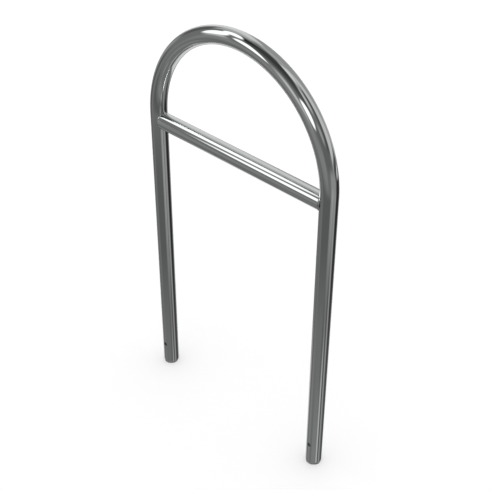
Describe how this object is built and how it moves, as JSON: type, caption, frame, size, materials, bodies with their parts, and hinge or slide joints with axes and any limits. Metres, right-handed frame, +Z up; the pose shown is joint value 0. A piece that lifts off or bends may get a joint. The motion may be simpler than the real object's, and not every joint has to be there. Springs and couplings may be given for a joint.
{
  "type": "hoop bike stand",
  "caption": "Round-tube hoop on straight legs with a welded crossbar under the bend, cross-drilled near its cut ends, to lean and lock a bicycle against.",
  "frame": {"origin": "on the plane of the legs' cut ends, midway between the two legs", "axes": "+Z up along the legs, +X from the left leg to the right leg, +Y through the hoop, square to its plane"},
  "size_m": [0.7, 0.0508, 1.3],
  "materials": {
    "polished_stainless": "polished",
    "dressed_weld": "satin"
  },
  "bodies": {
    "root": {"hoop_tube": "polished_stainless", "crossbar": "polished_stainless", "weld_left": "dressed_weld", "weld_right": "dressed_weld"}
  },
  "joints": []
}
